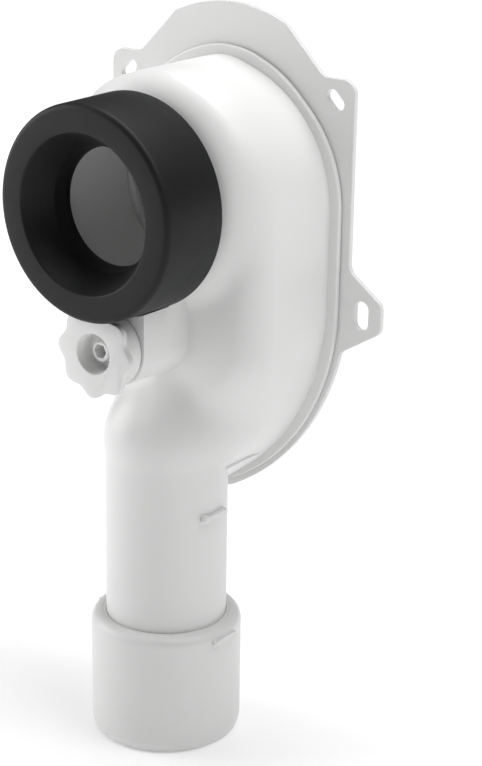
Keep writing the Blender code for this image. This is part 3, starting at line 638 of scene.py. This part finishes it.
def body_of(shell, depth, back):
    """The dome, drum and elbow as one closed bmesh, its surface lying depth inside the skin."""
    outline, inward = outline_of(DOME_CORNERS, OUTLINE_SPACING)
    rings = [(outline + inward * depth, np.full(len(outline), back))]
    side = shell.draft * (shell.dome_out - shell.dome_edge - shell.flange_front)
    # The rings that follow the outline stay inside the rounding of its lower tip
    room = shell.rim_reach - side - depth
    turns = [math.pi / 2 * k / EDGE_RINGS for k in range(1, EDGE_RINGS + 1)]
    insets = [side * k / SIDE_RINGS for k in range(SIDE_RINGS + 1)]
    insets += [side + room * (1 - math.cos(turn)) for turn in turns]
    for inset in insets:
        points = outline + inward * (depth + inset)
        rings.append((points, front_of_body(shell, depth + inset, points, depth)))
    # The first of them is the foot of the side, on the flange
    rings[1] = (rings[1][0], np.full(len(outline), shell.flange_front))
    rim = rings[-1][0]
    spine = np.stack([np.zeros(len(rim)), np.clip(rim[:, 1], shell.elbow_height, 0)], axis=1)
    for k in range(1, FRONT_RINGS + 1):
        points = rim + (spine - rim) * k / FRONT_RINGS
        inset = np.sqrt(((points[:, None] - outline[None]) ** 2).sum(axis=2).min(axis=1))
        rings.append((points, front_of_body(shell, inset, points, depth)))
    # The last ring folds onto the spine, so it closes without a face
    return lofted([[(x, -out, z) for (x, z), out in zip(*ring)] for ring in rings],
                  close_front=False)


def rounded_plate(outline, back, front, edge):
    """A flat piece with rounded rims, as a bmesh."""
    points, inward = outline
    # A ring a little inside each rounding keeps the shading of the flat faces flat
    held = 1.8 * edge
    turns = [math.pi / 2 * k / RIM_STEPS for k in range(RIM_STEPS + 1)]
    levels = [(held, back)]
    levels += [(edge * (1 - math.sin(t)), back + edge * (1 - math.cos(t))) for t in turns]
    levels += [(edge * (1 - math.cos(t)), front - edge * (1 - math.sin(t))) for t in turns]
    levels += [(held, front)]
    return lofted([[(x, -out, z) for x, z in points + inward * inset] for inset, out in levels])


def slot_cutter(slot, side, slant, back, front):
    """A round-ended slot on this side that goes right through a plate, as a bmesh."""
    x, z, width, long = slot
    half = long / 2 - width / 2
    points = []
    for k in range(SLOT_STEPS):
        a = 2 * math.pi * k / SLOT_STEPS
        u = width / 2 * math.cos(a)
        # The hair more in the angle gives both ends the same number of points
        v = width / 2 * math.sin(a) + math.copysign(half, math.sin(a + 1e-6))
        points.append((side * x + u * math.cos(side * slant) - v * math.sin(side * slant),
                       z + u * math.sin(side * slant) + v * math.cos(side * slant)))
    return lofted([[(x, -out, z) for x, z in points] for out in (back, front)])


def leaning_boss(shell, drop, front):
    """The plug's boss: straight sides that end in a half round below the plug's axis."""
    turns = [math.pi * k / BOSS_STEPS for k in range(BOSS_STEPS + 1)]
    rings = []
    for half, out in ((shell.boss_root_half_width, shell.boss_root_out),
                      (shell.boss_half_width, front)):
        ends = [(half * math.cos(t), -drop - half * math.sin(t)) for t in turns]
        points = [(half, -shell.neck_bore), *ends, (-half, -shell.neck_bore)]
        rings.append([(x, -out, z) for x, z in points])
    return lofted(rings)


def boss_shape(shell, sizes, plastic, plug_place):
    """The plug's boss as a bmesh, cut away under the collar but not in the plug's room in it."""
    boss = leaning_boss(shell, sizes.plug_height, sizes.boss_front)
    boss = piece_of(boss, "boss", plastic)
    back = -COLLAR_HIGH.y - GAP
    room = tube(COLLAR_HIGH.x + GAP, back, ROOM_END, FACING)
    room = piece_of(room, "room", plastic)
    cut(room, tube(sizes.relief_radius - GAP, back - OVERRUN, ROOM_END + OVERRUN, plug_place))
    cut(boss, shape_of(room))
    return shape_of(boss)


def moulded_shell(shell, sizes, plastic):
    """The shell: its outside joined up, its hollow cut, the neck joined on and the bores cut."""
    pipe_place = Matrix.Translation((0, -shell.pipe_out, 0))
    plug_place = Matrix.Translation((0, 0, -sizes.plug_height)) @ FACING
    skin = body_of(shell, 0, (shell.flange_back + shell.flange_front) / 2)
    piece = piece_of(skin, "moulded_shell", plastic)
    flange = outline_of(FLANGE_CORNERS, OUTLINE_SPACING)
    join(piece, rounded_plate(flange, shell.flange_back, shell.flange_front, FLANGE_EDGE))
    # The pipe starts a little above the ball's middle, so that they overlap
    pipe_top = shell.elbow_height + shell.flange_back
    join(piece, tube(shell.pipe_radius, shell.pipe_end, pipe_top, pipe_place, rings=PIPE_RINGS))
    join(piece, boss_shape(shell, sizes, plastic, plug_place))
    cut(piece, body_of(shell, shell.wall, shell.flange_back - OVERRUN))
    join(piece, tube(shell.neck_radius, shell.neck_back, shell.neck_out, FACING))
    cut(piece, tube(shell.neck_bore, shell.neck_back - OVERRUN, shell.neck_out + OVERRUN, FACING))
    cut(piece, tube(shell.pipe_bore, shell.pipe_end - OVERRUN, shell.elbow_height, pipe_place))
    cut(piece, tube(shell.boss_bore, shell.boss_root_out - OVERRUN, sizes.boss_front + OVERRUN,
                    plug_place, steps=PLUG_TURN))
    return piece


def pipe_rib(shell, plastic):
    """The short rib on the pipe's right, with a round knob at its front end."""
    far = shell.pipe_radius + shell.rib_reach
    half = shell.rib_half_length
    rib = rounded([(shell.pipe_bore, -half, 0), (far, -half, RIB_CORNER), (far, half, RIB_CORNER),
                   (shell.pipe_bore, half, 0)])
    levels = [shell.rib_height + side * shell.rib_thickness / 2 for side in (-1, 1)]
    rib = lofted([[(x, y - shell.pipe_out, z) for x, y in rib] for z in levels])
    rib = piece_of(rib, "pipe_rib", plastic)
    softened(rib, RIB_EDGE, segments=3)
    knob = bmesh.new()
    add_knob(knob, shell.rib_knob,
             (far - shell.rib_knob, -shell.pipe_out - half, shell.rib_height))
    join(rib, knob)
    return rib


class TRAP_OT_shell(bpy.types.Operator):
    """Mould the shell: leaning dome, inlet drum, elbow, flange, boss, neck and pipe"""
    bl_idname = "trap.shell"
    bl_label = "Mould shell"

    def execute(self, context):
        shell = context.scene.trap_shell
        plastic = white_plastic(context.scene.trap_plastic)
        piece = moulded_shell(shell, context.scene.trap_sizes, plastic)
        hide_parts("front_shell")
        rib = pipe_rib(shell, plastic)
        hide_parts("front_shell")
        return {"FINISHED"}


class TRAP_OT_housing(bpy.types.Operator):
    """Cut the back plate and finish the walls inside the shell"""
    bl_idname = "trap.housing"
    bl_label = "Finish housing"

    def execute(self, context):
        shell = context.scene.trap_shell
        plastic = white_plastic(context.scene.trap_plastic)
        edge = context.scene.trap_plastic.edge
        plate = rounded_plate(outline_of(PLATE_CORNERS, PLATE_SPACING), 0, shell.plate, edge)
        plate = piece_of(plate, "fixing_plate", plastic)
        slots = ((shell.upper_slot, shell.upper_slant), (shell.lower_slot, 0))
        for side in (1, -1):
            for slot, slant in slots:
                cut(plate, slot_cutter(slot, side, slant, -shell.plate, 2 * shell.plate))
        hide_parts("back_plate")
        # The moulded shell's hollow is narrower than the frame's, so the walls in it are trimmed
        for node, name in (("inlet_shaft", "down_shaft"), ("weir_wall", "weir_web")):
            inner = finished(node, name, plastic, edge)
            combine(inner, body_of(shell, shell.wall + TRIM, shell.plate), "INTERSECT")
        return {"FINISHED"}


class TRAP_OT_collar(bpy.types.Operator):
    """Turn the rubber collar: tapered mouth, sealing lip and the seat on the neck"""
    bl_idname = "trap.collar"
    bl_label = "Make collar"

    def execute(self, context):
        sizes = context.scene.trap_sizes
        front, back = -COLLAR_LOW.y, -COLLAR_HIGH.y
        mouth_edge, back_edge, seat_edge = 0.0007, 0.0009, 0.0004
        lip_back_edge, lip_front_edge, throat_edge = 0.0005, 0.0008, 0.0009
        profile = rounded([
            (sizes.mouth_radius, front, mouth_edge),
            (sizes.collar_front_radius, front, sizes.collar_edge),
            (COLLAR_HIGH.x, back, back_edge),
            (sizes.seat_radius, back, seat_edge),
            (sizes.seat_radius, sizes.seat_front, 0),
            (sizes.lip_radius, sizes.seat_front, lip_back_edge),
            (sizes.lip_radius, front - sizes.lip_depth, lip_front_edge),
            (sizes.throat_radius, front - sizes.throat_depth, throat_edge),
        ])
        rubber = black_rubber(context.scene.trap_rubber)
        collar = turned(profile, FINE_TURN, FACING)
        collar = piece_of(collar, "collar_rubber", rubber)
        room_front, room_back = front - sizes.relief_lip, back - OVERRUN
        plug_place = Matrix.Translation((0, 0, -sizes.plug_height)) @ FACING
        cut(collar, turned([
            (0, room_front), (sizes.relief_radius, room_front),
            (sizes.relief_radius, room_back), (0, room_back),
        ], ROOM_TURN, plug_place))
        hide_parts("inlet_collar")
        return {"FINISHED"}


def lobed_disc(sizes, face):
    """The plug's disc: a wavy outline between two plane faces with rounded rims."""
    count = LOBE_STEPS * sizes.plug_lobes
    middle = (sizes.plug_tip + sizes.plug_valley) / 2
    swing = (sizes.plug_tip - sizes.plug_valley) / 2
    rim, back = sizes.disc_rim, face - sizes.disc_thickness
    bend = rim * 0.3
    levels = [(rim, back), (bend, back + bend), (0, back + rim),
              (0, face - rim), (bend, face - bend), (rim, face)]
    rings = []
    for inset, z in levels:
        ring = []
        for k in range(count):
            a = 2 * math.pi * k / count
            wave = math.cos(sizes.plug_lobes * (a + sizes.plug_turn))
            radius = middle + swing * wave - inset
            ring.append((radius * math.cos(a), radius * math.sin(a), z))
        rings.append(ring)
    return skinned(rings)


class TRAP_OT_plug(bpy.types.Operator):
    """Finish the lobed cleaning plug"""
    bl_idname = "trap.plug"
    bl_label = "Finish plug"

    def execute(self, context):
        sizes = context.scene.trap_sizes
        plastic = white_plastic(context.scene.trap_plastic)
        face, inner = -PLUG_LOW.y, -PLUG_HIGH.y
        place = Matrix.Translation((0, 0, -sizes.plug_height)) @ FACING
        knob = piece_of(lobed_disc(sizes, face), "lobed_knob", plastic)
        mouth = sizes.recess_radius + RECESS_EDGE
        above = face + RECESS_OVERLAP
        below = face - sizes.disc_thickness - RECESS_OVERLAP
        cut(knob, turned([
            (0, above), (mouth, above), (mouth, face), (sizes.recess_radius, face - RECESS_EDGE),
            (sizes.recess_floor_radius, below), (0, below),
        ], PLUG_TURN))

        floor = face - sizes.recess_depth
        stub_top = face - sizes.stub_depth
        disc_back = face - sizes.disc_thickness
        seat = sizes.boss_front + GAP
        fine, floor_edge, shank_edge = 0.0003, 0.0004, 0.0006
        body = turned(rounded([
            (sizes.recess_floor_radius, floor, floor_edge), (sizes.stub_radius, floor, fine),
            (sizes.stub_radius, stub_top, fine), (0, stub_top, 0), (0, inner, 0),
            (sizes.shank_radius, inner, shank_edge), (sizes.shank_radius, seat, 0),
            (sizes.plug_collar_radius, seat, fine), (sizes.plug_collar_radius, disc_back, 0),
            (sizes.recess_floor_radius, disc_back, 0),
        ]), PLUG_TURN)
        body = piece_of(body, "plug_body", plastic)
        hexagon, hexagon_floor = sizes.hexagon_radius, stub_top - sizes.hexagon_depth
        cut(body, turned([
            (0, face), (hexagon, face), (hexagon, hexagon_floor), (0, hexagon_floor),
        ], 6))
        for piece in (knob, body):
            piece.data.transform(place)
        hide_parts("cleaning_plug")
        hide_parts("cleaning_plug")

        turns = [math.radians(30 * k) for k in range(12)]
        ring = turned([
            (sizes.ring_radius + sizes.ring_section * math.cos(t),
             sizes.ring_front + sizes.ring_section * math.sin(t)) for t in turns
        ], PLUG_TURN)
        ring = piece_of(ring, "plug_ring", black_rubber(context.scene.trap_rubber))
        ring.data.transform(place)
        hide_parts("plug_seal")
        return {"FINISHED"}


class TRAP_OT_sleeve(bpy.types.Operator):
    """Finish the outlet sleeve and the pale ring in its top"""
    bl_idname = "trap.sleeve"
    bl_label = "Finish sleeve"

    def execute(self, context):
        sizes, pipe_radius = context.scene.trap_sizes, context.scene.trap_shell.pipe_radius
        top, bottom = SLEEVE_HIGH.z, SLEEVE_LOW.z
        axis = Matrix.Translation(((SLEEVE_LOW.x + SLEEVE_HIGH.x) / 2,
                                   (SLEEVE_LOW.y + SLEEVE_HIGH.y) / 2, 0))
        radius = (SLEEVE_HIGH.y - SLEEVE_LOW.y) / 2
        room_floor = top - sizes.seal_depth
        crisp, eased = 0.0002, 0.0005
        shape = turned(rounded([
            (sizes.seal_radius, top, crisp), (radius, top, sizes.sleeve_shoulder),
            (radius, bottom + sizes.chamfer_height, eased),
            (radius - sizes.chamfer_depth, bottom, eased),
            (sizes.stop_radius, bottom, eased), (sizes.stop_radius, sizes.stop_height, 0),
            (sizes.sleeve_bore, sizes.stop_height, 0), (sizes.sleeve_bore, room_floor, 0),
            (sizes.seal_radius, room_floor, 0),
        ]), FINE_TURN)
        scale = Matrix.Diagonal((LUG_DEPTH, 2 * sizes.lug_half_length, sizes.lug_thickness, 1))
        for side in (-1, 1):
            lug = bmesh.ops.create_cube(shape, size=1)["verts"]
            place = Matrix.Translation(
                (side * (sizes.lug_reach - LUG_DEPTH / 2), 0, sizes.lug_height))
            bmesh.ops.transform(shape, verts=lug, matrix=place @ scale)
            add_knob(shape, sizes.lug_knob, (side * (sizes.lug_reach - sizes.lug_knob),
                                             -sizes.lug_half_length, sizes.lug_height))
        bmesh.ops.transform(shape, matrix=axis, verts=shape.verts)
        plastic = white_plastic(context.scene.trap_plastic)
        sleeve = piece_of(shape, "waste_sleeve", plastic)
        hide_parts("outlet_sleeve")

        inner, outer = pipe_radius + SEAL_GAP, sizes.seal_radius - SEAL_GAP
        ring = turned(rounded([
            (inner, room_floor + SEAL_GAP, 0), (inner, top, eased), (outer, top, crisp),
            (outer, room_floor + SEAL_GAP, 0),
        ]), FINE_TURN, axis)
        ring = piece_of(ring, "pipe_ring", pale_rubber(context.scene.trap_rubber))
        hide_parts("sleeve_seal")
        return {"FINISHED"}


def pale_floor(studio):
    """A wide matte floor with a glow of its own, stronger away from the trap."""
    shape = bmesh.new()
    bmesh.ops.create_grid(shape, x_segments=1, y_segments=1, size=FLOOR_HALF)
    mesh = bpy.data.meshes.new("floor")
    shape.to_mesh(mesh)
    shape.free()
    floor = bpy.data.objects.new("floor", mesh)
    floor.location.z = CAD_LOW.z - FLOOR_GAP
    bpy.context.scene.collection.objects.link(floor)
    material = bpy.data.materials.new("pale floor")
    material.use_nodes = True
    nodes, links = material.node_tree.nodes, material.node_tree.links
    shader = nodes["Principled BSDF"]
    shader.inputs["Base Color"].default_value = (*studio.floor, 1)
    shader.inputs["Roughness"].default_value = 0.9
    shader.inputs["Emission Color"].default_value = (1, 1, 1, 1)
    away = nodes.new("ShaderNodeVectorMath")
    away.operation = "LENGTH"
    links.new(nodes.new("ShaderNodeTexCoord").outputs["Object"], away.inputs[0])
    glow = nodes.new("ShaderNodeMapRange")
    glow.interpolation_type = "SMOOTHSTEP"
    for socket, value in (("From Min", GLOW_FROM), ("From Max", GLOW_TO),
                          ("To Min", studio.glow), ("To Max", studio.far)):
        glow.inputs[socket].default_value = value
    links.new(away.outputs["Value"], glow.inputs["Value"])
    links.new(glow.outputs["Result"], shader.inputs["Emission Strength"])
    mesh.materials.append(material)
    return floor


def area_light(name, power, size, place, target):
    """Makes a square soft light that looks at target."""
    light = bpy.data.lights.new(name, "AREA")
    light.energy = power
    light.size = size
    lamp = bpy.data.objects.new(name, light)
    bpy.context.scene.collection.objects.link(lamp)
    lamp.location = place
    lamp.rotation_euler = (Vector(target) - Vector(place)).to_track_quat("-Z", "Y").to_euler()


def camera_of(studio):
    """The camera that was fitted to the photograph."""
    camera = bpy.data.objects.new("camera", bpy.data.cameras.new("camera"))
    bpy.context.scene.collection.objects.link(camera)
    camera.data.sensor_width = studio.sensor
    camera.data.lens = studio.lens
    camera.data.clip_start = 0.01
    level = math.cos(studio.elevation)
    forward = Vector((-math.sin(studio.azimuth) * level, math.cos(studio.azimuth) * level,
                      -math.sin(studio.elevation)))
    right = Vector((math.cos(studio.azimuth), math.sin(studio.azimuth), 0))
    up = right.cross(forward)
    rolled_right = right * math.cos(studio.roll) + up * math.sin(studio.roll)
    rolled_up = up * math.cos(studio.roll) - right * math.sin(studio.roll)
    turn = Matrix((rolled_right, rolled_up, -forward)).transposed()
    camera.matrix_world = Matrix.Translation(studio.eye) @ turn.to_4x4()
    return camera


class TRAP_OT_studio(bpy.types.Operator):
    """Set up the floor, the lights and the camera"""
    bl_idname = "trap.studio"
    bl_label = "Set up studio"

    def execute(self, context):
        scene, studio = context.scene, context.scene.trap_studio
        scene.world = bpy.data.worlds.new("even light")
        scene.world.use_nodes = True
        background = scene.world.node_tree.nodes["Background"]
        background.inputs["Color"].default_value = (1, 1, 1, 1)
        background.inputs["Strength"].default_value = studio.air
        floor = pale_floor(studio)
        middle = (CAD_LOW + CAD_HIGH) / 2
        for name, size, place in LIGHTS:
            area_light(f"{name} light", getattr(studio, name), size, place, middle)
        scene.camera = camera_of(studio)
        scene.view_settings.view_transform = "Standard"
        return {"FINISHED"}


class TRAP_PT_sidebar(bpy.types.Panel):
    """The trap's pieces and settings"""
    bl_idname = "TRAP_PT_sidebar"
    bl_label = "Trap"
    bl_space_type = "VIEW_3D"
    bl_region_type = "UI"
    bl_category = "Trap"

    def draw(self, context):
        for operator in OPERATORS:
            self.layout.operator(operator.bl_idname)
        for group in SETTINGS:
            box = self.layout.box()
            box.label(text=group)
            settings = getattr(context.scene, group)
            for name in type(settings).__annotations__:
                box.prop(settings, name)


SETTINGS = {
    "trap_plastic": TrapPlastic,
    "trap_shell": TrapShell,
    "trap_rubber": TrapRubber,
    "trap_sizes": TrapSizes,
    "trap_studio": TrapStudio,
}
OPERATORS = (
    TRAP_OT_shell, TRAP_OT_housing, TRAP_OT_collar, TRAP_OT_plug, TRAP_OT_sleeve, TRAP_OT_studio,
)


def register():
    for kind in (*SETTINGS.values(), *OPERATORS, TRAP_PT_sidebar):
        bpy.utils.register_class(kind)
    for name, kind in SETTINGS.items():
        setattr(bpy.types.Scene, name, PointerProperty(type=kind))


def unregister():
    for name in SETTINGS:
        delattr(bpy.types.Scene, name)
    for kind in reversed((*SETTINGS.values(), *OPERATORS, TRAP_PT_sidebar)):
        bpy.utils.unregister_class(kind)


def main():
    register()
    bpy.ops.trap.shell()
    bpy.ops.trap.housing()
    bpy.ops.trap.collar()
    bpy.ops.trap.plug()
    bpy.ops.trap.sleeve()
    bpy.ops.trap.studio()


if __name__ == "__main__":
    main()
